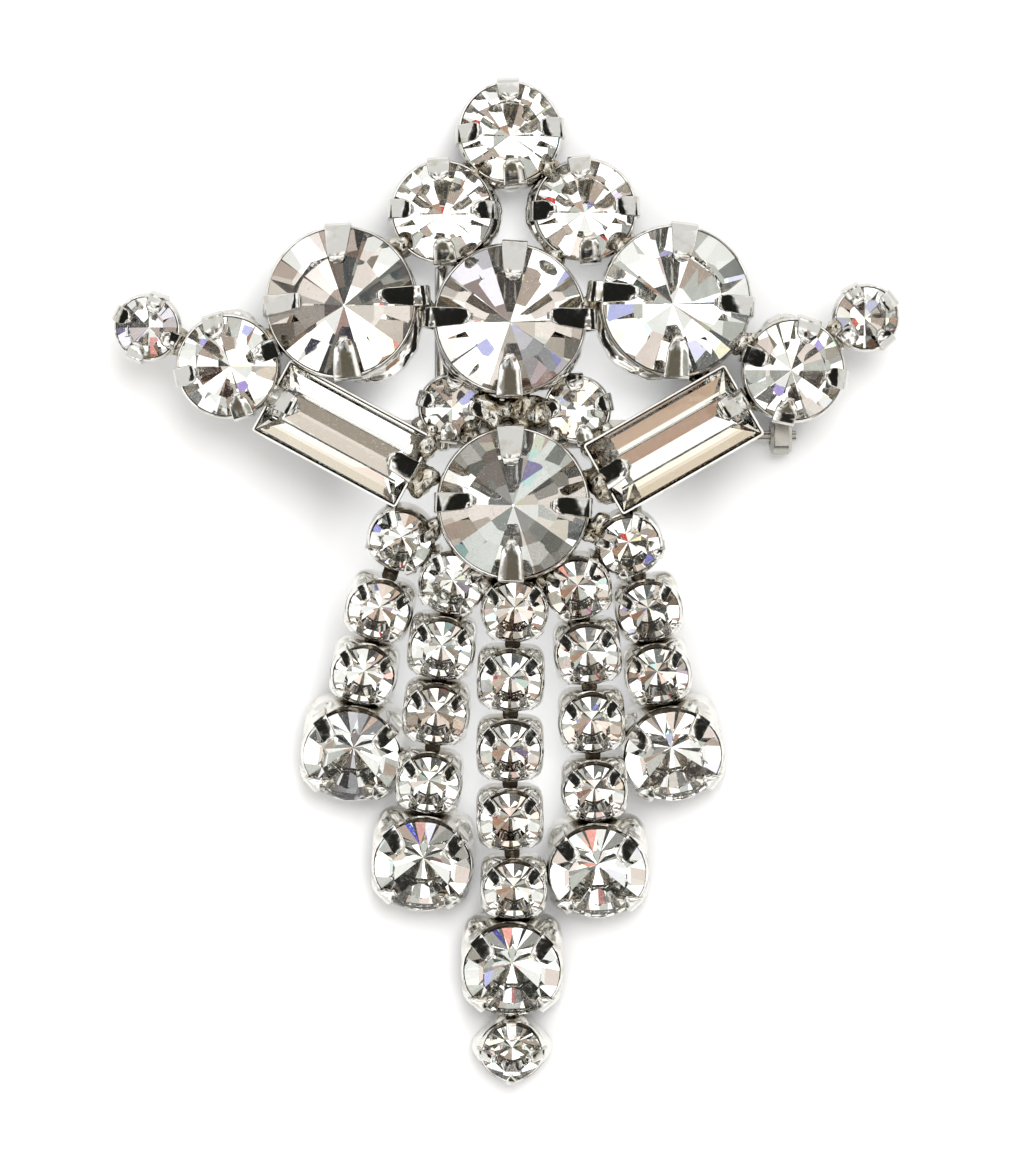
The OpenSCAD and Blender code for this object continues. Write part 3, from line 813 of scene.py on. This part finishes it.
# Below this height of its normal a facet is backed with foil
BACKED_BELOW = 0.25

# How finely the facets' normals are told apart, a shift that keeps them off the steps' edges, and how far
# apart the stones' draws are
NORMAL_STEP = (0.03, 0.03, 0.03)
NORMAL_SHIFT = (0.0137, 0.0071, 0.0113)
STONE_SPREAD = 60.0

# Glass: index of refraction, and how far a baguette's side steps lean
GLASS_IOR = 1.56
STEP_LEAN = 0.22

# Specks of dust behind the stones: scale of the noise, where they begin and are full, and roughness
DUST_SCALE = 9000.0
DUST_EDGE = (0.64, 0.72)
DUST_ROUGH = 0.45


def node_material(name):
    """New material, with its node tree and its shader."""
    material = bpy.data.materials.new(name)
    material.use_nodes = True
    tree = material.node_tree
    tree.nodes.clear()
    shader = tree.nodes.new("ShaderNodeBsdfPrincipled")
    output = tree.nodes.new("ShaderNodeOutputMaterial")
    tree.links.new(shader.outputs[0], output.inputs["Surface"])
    return material, tree, shader


def place_on(tree):
    """Place on the object, in metres."""
    return tree.nodes.new("ShaderNodeTexCoord").outputs["Object"]


def metal_material(name):
    """New metal, with its node tree, its shader and the place on the object."""
    material, tree, shader = node_material(name)
    shader.inputs["Metallic"].default_value = 1.0
    return material, tree, shader, place_on(tree)


def plug(tree, socket, value):
    """Sets a socket to a number or a vector, or links an output to it."""
    if isinstance(value, bpy.types.NodeSocket):
        tree.links.new(value, socket)
    else:
        socket.default_value = value


def maths(tree, operation, *values, clamp=False):
    node = tree.nodes.new("ShaderNodeMath")
    node.operation = operation
    node.use_clamp = clamp
    for socket, value in zip(node.inputs, values):
        plug(tree, socket, value)
    return node.outputs[0]


def vector_maths(tree, operation, *values):
    node = tree.nodes.new("ShaderNodeVectorMath")
    node.operation = operation
    sockets = (node.inputs[0], node.inputs["Scale"]) if operation == "SCALE" else node.inputs
    for socket, value in zip(sockets, values):
        plug(tree, socket, value)
    return node.outputs["Value" if operation in ("DOT_PRODUCT", "LENGTH") else "Vector"]


def eased(tree, value, low, high, to_low=0.0, to_high=1.0):
    node = tree.nodes.new("ShaderNodeMapRange")
    node.interpolation_type = "SMOOTHSTEP"
    for socket, given in zip(node.inputs, (value, low, high, to_low, to_high)):
        plug(tree, socket, given)
    return node.outputs[0]


def mixed(tree, share, a, b):
    node = tree.nodes.new("ShaderNodeMix")
    node.data_type = "RGBA"
    for socket, value in zip((node.inputs["Factor"], node.inputs[6], node.inputs[7]), (share, a, b)):
        plug(tree, socket, value)
    return node.outputs[2]


def noise_texture(tree, vector, scale, detail=2.0):
    node = tree.nodes.new("ShaderNodeTexNoise")
    plug(tree, node.inputs["Vector"], vector)
    node.inputs["Scale"].default_value = scale
    node.inputs["Detail"].default_value = detail
    return node.outputs["Fac"]


def stepped(tree, value, marks):
    """Colour of the last mark at or below the value, each mark a spot from 0 to 1 and a colour."""
    ramp = tree.nodes.new("ShaderNodeValToRGB")
    ramp.color_ramp.interpolation = "CONSTANT"
    elements = ramp.color_ramp.elements
    while len(elements) < len(marks):
        elements.new(1.0)
    for element, (spot, colour) in zip(elements, marks):
        element.position = spot
        element.color = (*colour, 1)
    plug(tree, ramp.inputs[0], value)
    return ramp.outputs[0]


def facet_colours(tree, normal, foil, share, painted_reflections):
    """Colour of the foil behind each facet, drawn from its normal and its stone, with painted reflections
    on some facets.
    """
    stone = maths(tree, "MULTIPLY", tree.nodes.new("ShaderNodeObjectInfo").outputs["Random"], STONE_SPREAD)
    moved = vector_maths(tree, "ADD", normal, NORMAL_SHIFT)
    draw = tree.nodes.new("ShaderNodeTexWhiteNoise")
    draw.noise_dimensions = "4D"
    plug(tree, draw.inputs["Vector"], vector_maths(tree, "SNAP", moved, NORMAL_STEP))
    plug(tree, draw.inputs["W"], stone)
    marks = [(share * i / len(painted_reflections), [part * foil for part in reflection]) for i, reflection in enumerate(painted_reflections)]
    return stepped(tree, draw.outputs["Value"], marks + [(share, (foil, foil, foil * 0.985))])


def crystal(name, foil, share=0.0, painted_reflections=(), glass_colour=(1, 1, 1, 1)):
    """Clear glass whose lower facets are mirror-backed, told apart by the way that they face."""
    material, tree, shader = node_material(name)
    shader.inputs["Transmission Weight"].default_value = 1.0
    shader.inputs["IOR"].default_value = GLASS_IOR
    geometry = tree.nodes.new("ShaderNodeNewGeometry")
    up = tree.nodes.new("ShaderNodeSeparateXYZ")
    tree.links.new(geometry.outputs["True Normal"], up.inputs[0])
    side = maths(tree, "MULTIPLY_ADD", geometry.outputs["Backfacing"], -2.0, 1.0)
    facing = maths(tree, "MULTIPLY", up.outputs["Z"], side)
    backed = maths(tree, "LESS_THAN", facing, BACKED_BELOW)
    dust = eased(tree, noise_texture(tree, place_on(tree), DUST_SCALE, 3.0), *DUST_EDGE)
    normal = vector_maths(tree, "SCALE", geometry.outputs["True Normal"], side)
    if callable(glass_colour):
        glass_colour = glass_colour(tree, normal)
    foil_colour = facet_colours(tree, normal, foil, share, painted_reflections)
    plug(tree, shader.inputs["Metallic"], backed)
    plug(tree, shader.inputs["Base Color"], mixed(tree, backed, glass_colour, foil_colour))
    dusty = maths(tree, "MULTIPLY", backed, dust)
    plug(tree, shader.inputs["Roughness"], maths(tree, "MULTIPLY", dusty, DUST_ROUGH))
    return material


def banded_painted_reflection(across, upper, lower):
    """Colours of a baguette's glass, a painted reflection: its upper steps in one tint and its lower steps
    in another.
    """
    def colour(tree, normal):
        lean = vector_maths(tree, "DOT_PRODUCT", normal, across)
        half = mixed(tree, maths(tree, "GREATER_THAN", lean, STEP_LEAN), (1, 1, 1, 1), (*upper, 1))
        return mixed(tree, maths(tree, "LESS_THAN", lean, -STEP_LEAN), half, (*lower, 1))
    return colour


def stone_materials():
    """One crystal for each group of stones, as the photograph shows some groups brighter than others:
    painted light, by foil brightness and painted reflections.
    """
    groups = {name: crystal("crystal_" + name, *values) for name, values in FOILS_AND_PAINTED_LIGHT.items()}
    left = banded_painted_reflection((0.48, 0.88, 0.0), (0.96, 0.96, 0.94), (0.92, 0.88, 0.82))
    right = banded_painted_reflection((-0.5, 0.87, 0.0), (0.9, 0.84, 0.8), (0.92, 0.84, 0.7))
    groups["baguette_left"] = crystal("crystal_baguette_left", 0.97, glass_colour=left)
    groups["baguette_right"] = crystal("crystal_baguette_right", 0.95, glass_colour=right)
    return groups


def stone_group(name):
    """Name of the group that a stone's crystal belongs to."""
    if name in BAGUETTES:
        return name
    if name.startswith("stone_strand_") and STONES[name][1] == "medium":
        return "ends"
    part = name[len("stone_"):]
    if part in FOILS_AND_PAINTED_LIGHT:
        return part
    first = part.split("_")[0]
    return first if first in FOILS_AND_PAINTED_LIGHT else "body"


def bumped(tree, shader, where, scale, depth, strength):
    bump = tree.nodes.new("ShaderNodeBump")
    bump.inputs["Strength"].default_value = strength
    bump.inputs["Distance"].default_value = depth
    plug(tree, bump.inputs["Height"], noise_texture(tree, where, scale, 3.0))
    plug(tree, shader.inputs["Normal"], bump.outputs["Normal"])


def painted_hollow_shade(tree, reach, low, high):
    """Share of painted shade at a point, from ambient occlusion: 1 deep in a hollow, 0 in the open."""
    shade = tree.nodes.new("ShaderNodeAmbientOcclusion")
    shade.samples = 3
    shade.inputs["Distance"].default_value = reach * MM
    return eased(tree, shade.outputs["AO"], low, high, 1.0, 0.0)


def plating(name):
    """Plated metal of that name, dull in patches and darkened by painted shade in its hollows."""
    metal = METALS[name]
    material, tree, shader, where = metal_material(name)
    scale, detail, begin, full = metal["patches"]
    patches = eased(tree, noise_texture(tree, where, scale, detail), begin, full)
    colour = mixed(tree, patches, (*metal["clean"], 1), (*metal["dull"], 1))
    # Painted shade: the hollows are darkened towards brown by ambient occlusion
    shaded = painted_hollow_shade(tree, *metal["hollow_shade"])
    plug(tree, shader.inputs["Base Color"], mixed(tree, shaded, colour, HOLLOW_SHADE))
    fine = noise_texture(tree, where, 2500.0, 4.0)
    plug(tree, shader.inputs["Roughness"], eased(tree, fine, *metal["rough"]))
    bumped(tree, shader, where, *metal["bumps"])
    return material


def dark_metal():
    """Dark metal of the links, and of the crescents of painted shade round the stones of the strands."""
    material, tree, shader, where = metal_material("dark_metal")
    patches = eased(tree, noise_texture(tree, where, 1500.0, 3.0), 0.5, 0.7)
    colour = mixed(tree, patches, (0.045, 0.036, 0.026, 1), (0.3, 0.26, 0.2, 1))
    plug(tree, shader.inputs["Base Color"], colour)
    plug(tree, shader.inputs["Roughness"], eased(tree, patches, 0.3, 0.7, 0.2, 0.34))
    bumped(tree, shader, where, 2200.0, 0.0001, 0.4)
    return material


def pin_metal():
    """Plain metal of the pin back."""
    material, tree, shader, where = metal_material("pin_metal")
    patches = noise_texture(tree, where, 500.0, 3.0)
    colour = mixed(tree, patches, (0.52, 0.51, 0.48, 1), (0.36, 0.34, 0.3, 1))
    plug(tree, shader.inputs["Base Color"], colour)
    plug(tree, shader.inputs["Roughness"], eased(tree, patches, 0.3, 0.7, 0.18, 0.32))
    return material


def paper():
    """White floor with painted light: it glows, most under the object's middle, which lightens the shadow
    there.
    """
    material, tree, shader = node_material("paper")
    where = place_on(tree)
    grain = noise_texture(tree, where, 60.0, 2.0)
    colour = mixed(tree, grain, (0.93, 0.93, 0.93, 1), (0.95, 0.95, 0.95, 1))
    plug(tree, shader.inputs["Base Color"], colour)
    shader.inputs["Roughness"].default_value = 0.9
    shader.inputs["Specular IOR Level"].default_value = 0.1
    x, y, half_w, half_h = (length * MM for length in GLOW_PATCH)
    off = vector_maths(tree, "SUBTRACT", where, (x, y, 0))
    off = vector_maths(tree, "MULTIPLY", off, (1 / half_w, 1 / half_h, 0))
    glow = eased(tree, vector_maths(tree, "LENGTH", off), *GLOW_EDGE, *PAPER_GLOW)
    shader.inputs["Emission Color"].default_value = (1.0, 1.0, 1.0, 1)
    plug(tree, shader.inputs["Emission Strength"], glow)
    return material


# Stage: studio dome, light, floor and camera

# Painted light that the floor gives off, lightening its shadow: under the object's middle and elsewhere.
# Then the place and half sizes of that middle, and the shares of them between which the light fades
PAPER_GLOW = (0.62, 0.13)
GLOW_PATCH = (0.5, 4.0, 13.0, 27.0)
GLOW_EDGE = (0.7, 1.2)

# Panels of the dome: share of the cells from which each colour goes on, and the colour. Then how fine
# they are
DOME_COLOURS = (
    (0.00, (0.04, 0.045, 0.043)), (0.03, (0.13, 0.14, 0.135)), (0.12, (0.32, 0.33, 0.31)),
    (0.20, (0.45, 0.36, 0.30)), (0.27, (0.54, 0.56, 0.52)), (0.335, (0.86, 0.75, 0.69)),
    (0.375, (0.95, 0.96, 0.93)), (0.48, (1.3, 1.28, 1.22)), (0.6, (1.8, 1.8, 1.78)),
)
CELLS = 6.3

# How far apart the red and the blue edges of the panels are, and how much that shows
FRINGE = 0.006
FRINGE_SHARE = 0.35

# Colour of the dome near the floor, and the heights between which the panels take over
LOW_BAND = (1.0, 1.0, 0.98, 1)
BAND_EDGE = (0.2, 0.3)

# Where the panels are brighter or darker than elsewhere: azimuth, elevation, inner and outer radius, push
LEANINGS = (
    (90, 56, 10, 36, 0.3), (-90, 78, 8, 34, -0.14), (-45, 75, 6, 18, -0.18), (95, 84, 4, 11, -0.08),
    (165, 68, 4, 12, 0.25), (-128, 30, 8, 24, 0.3),
)

# Dark flags and tan cards round the object: azimuth from the right, elevation, half width and half
# height, all in degrees, and colour. Then the softness of their edges
FLAGS = (
    (8, 33, 34, 17, (0.02, 0.02, 0.018, 1)),
    (172, 33, 34, 17, (0.02, 0.02, 0.018, 1)),
    (-88, 40, 12, 9, (0.19, 0.17, 0.13, 1)),
    (-88, 23, 12, 7, (0.03, 0.028, 0.024, 1)),
    (-39, 66, 7, 6, (0.42, 0.25, 0.16, 1)),
    (-139, 66, 5, 5, (0.3, 0.25, 0.19, 1)),
    (75, 52, 4, 4, (0.7, 0.62, 0.54, 1)),
    (90, 72, 4, 2.5, (0.86, 0.79, 0.68, 1)),
    (8, 80, 4, 4, (0.66, 0.5, 0.4, 1)),
)
FLAG_EDGE = 0.04

# Soft light: side, power and place, in metres and watts
LIGHT_SIZE = 0.35
LIGHT_POWER = 2.6
LIGHT_AT = (0.1, 0.33, 0.6)

# Floor: half of its side, and its height a hair below the object, in metres
FLOOR_HALF = 3.0
FLOOR_Z = -0.00002


def pointing(azimuth, elevation):
    """Unit vector towards an azimuth and an elevation in degrees."""
    az = math.radians(azimuth)
    el = math.radians(elevation)
    return (math.cos(az) * math.cos(el), math.sin(az) * math.cos(el), math.sin(el))


def brightness_push(tree, way):
    """How much brighter or darker the panels are in a direction."""
    total = 0.0
    for azimuth, elevation, inner, outer, push in LEANINGS:
        near = vector_maths(tree, "DOT_PRODUCT", way, pointing(azimuth, elevation))
        low = math.cos(math.radians(outer))
        high = math.cos(math.radians(inner))
        total = maths(tree, "ADD", eased(tree, near, low, high, 0.0, push), total)
    return total


def dome_cells(tree, direction, push):
    """Panels of white, grey, dark and tan round the dome: their colour, and its channels."""
    cells = tree.nodes.new("ShaderNodeTexVoronoi")
    plug(tree, cells.inputs["Vector"], direction)
    cells.inputs["Scale"].default_value = CELLS
    pick = tree.nodes.new("ShaderNodeSeparateColor")
    tree.links.new(cells.outputs["Color"], pick.inputs[0])
    colour = stepped(tree, maths(tree, "ADD", pick.outputs[0], push, clamp=True), DOME_COLOURS)
    split = tree.nodes.new("ShaderNodeSeparateColor")
    tree.links.new(colour, split.inputs[0])
    return colour, split


def flag_mask(tree, way, azimuth, elevation, half_w, half_h):
    """1 inside a flag that faces the object from that direction, with soft edges."""
    right = pointing(azimuth + 90, 0)
    top = pointing(azimuth, elevation + 90)
    ahead = vector_maths(tree, "DOT_PRODUCT", way, pointing(azimuth, elevation))
    masks = [maths(tree, "GREATER_THAN", ahead, 0.0)]
    for axis, half in ((right, half_w), (top, half_h)):
        across = maths(tree, "DIVIDE", vector_maths(tree, "DOT_PRODUCT", way, axis), ahead)
        off = maths(tree, "ABSOLUTE", across)
        edge = math.tan(math.radians(half))
        masks.append(eased(tree, off, edge - FLAG_EDGE, edge + FLAG_EDGE, 1.0, 0.0))
    return maths(tree, "MULTIPLY", maths(tree, "MULTIPLY", masks[0], masks[1]), masks[2])


def studio_dome():
    """World of panels with coloured fringes, an even band near the floor, and flags."""
    world = bpy.data.worlds.new("studio")
    world.use_nodes = True
    bpy.context.scene.world = world
    tree = world.node_tree
    tree.nodes.clear()
    way = tree.nodes.new("ShaderNodeTexCoord").outputs["Generated"]
    push = brightness_push(tree, way)
    fringed = tree.nodes.new("ShaderNodeCombineColor")
    plain = None
    for index, shift in enumerate((-FRINGE, 0.0, FRINGE)):
        shifted = vector_maths(tree, "ADD", way, (shift, shift * 0.7, 0.0))
        colour, split = dome_cells(tree, shifted, push)
        tree.links.new(split.outputs[index], fringed.inputs[index])
        plain = colour if index == 1 else plain
    cells = mixed(tree, FRINGE_SHARE, plain, fringed.outputs[0])
    up = tree.nodes.new("ShaderNodeSeparateXYZ")
    tree.links.new(way, up.inputs[0])
    colour = mixed(tree, eased(tree, up.outputs["Z"], *BAND_EDGE), LOW_BAND, cells)
    for azimuth, elevation, half_w, half_h, dark in FLAGS:
        colour = mixed(tree, flag_mask(tree, way, azimuth, elevation, half_w, half_h), colour, dark)
    background = tree.nodes.new("ShaderNodeBackground")
    tree.links.new(colour, background.inputs["Color"])
    output = tree.nodes.new("ShaderNodeOutputWorld")
    tree.links.new(background.outputs[0], output.inputs["Surface"])


def soft_light():
    data = bpy.data.lights.new("soft_light", "AREA")
    data.shape = "SQUARE"
    data.size = LIGHT_SIZE
    data.energy = LIGHT_POWER
    light = bpy.data.objects.new("soft_light", data)
    light.location = LIGHT_AT
    light.rotation_mode = "QUATERNION"
    light.rotation_quaternion = light.location.to_track_quat("Z", "Y")
    light.visible_glossy = False
    light.visible_transmission = False
    show(light)


def floor():
    mesh = bpy.data.meshes.new("floor")
    corners = [(x * FLOOR_HALF, y * FLOOR_HALF, 0) for x, y in ((-1, -1), (1, -1), (1, 1), (-1, 1))]
    mesh.from_pydata(corners, [], [(0, 1, 2, 3)])
    mesh.materials.append(paper())
    plane = bpy.data.objects.new("floor", mesh)
    plane.location.z = FLOOR_Z
    show(plane)


def camera():
    data = bpy.data.cameras.new("camera")
    data.sensor_width = SENSOR
    data.lens = PIXELS_PER_MM * CAMERA_FROM * SENSOR / PHOTO_H
    data.clip_start = 0.01
    data.clip_end = 10
    eye = bpy.data.objects.new("camera", data)
    lean = Vector((0, math.sin(CAMERA_LEAN), math.cos(CAMERA_LEAN)))
    eye.location = (LOOK_AT + lean * CAMERA_FROM) * MM
    eye.rotation_euler = (-CAMERA_LEAN, 0, 0)
    show(eye)
    bpy.context.scene.camera = eye


def render_settings():
    scene = bpy.context.scene
    scene.view_settings.view_transform = "Standard"
    scene.cycles.max_bounces = 12
    scene.cycles.transmission_bounces = 12
    scene.cycles.glossy_bounces = 10
    scene.cycles.caustics_reflective = False
    scene.cycles.caustics_refractive = False
    scene.cycles.sample_clamp_indirect = 5.0


def build():
    """Gives the stones and the pin back their materials, and adds the metal."""
    metal = plating("plated_metal")
    dark = dark_metal()
    crystals = stone_materials()
    for name in STONES:
        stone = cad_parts[name]
        stone.data.materials.clear()
        stone.data.materials.append(crystals[stone_group(name)])
        stone.data.polygons.foreach_set("use_smooth", [False] * len(stone.data.polygons))
    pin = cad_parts["pin_back"]
    pin.data.materials.clear()
    pin.data.materials.append(pin_metal())
    body_settings(metal)
    posts_and_rod(metal)
    solder_piece(plating("solder_metal"))
    strand_pieces(plating("chain_metal"), dark)
    seams(dark)


build()
floor()
studio_dome()
soft_light()
camera()
render_settings()
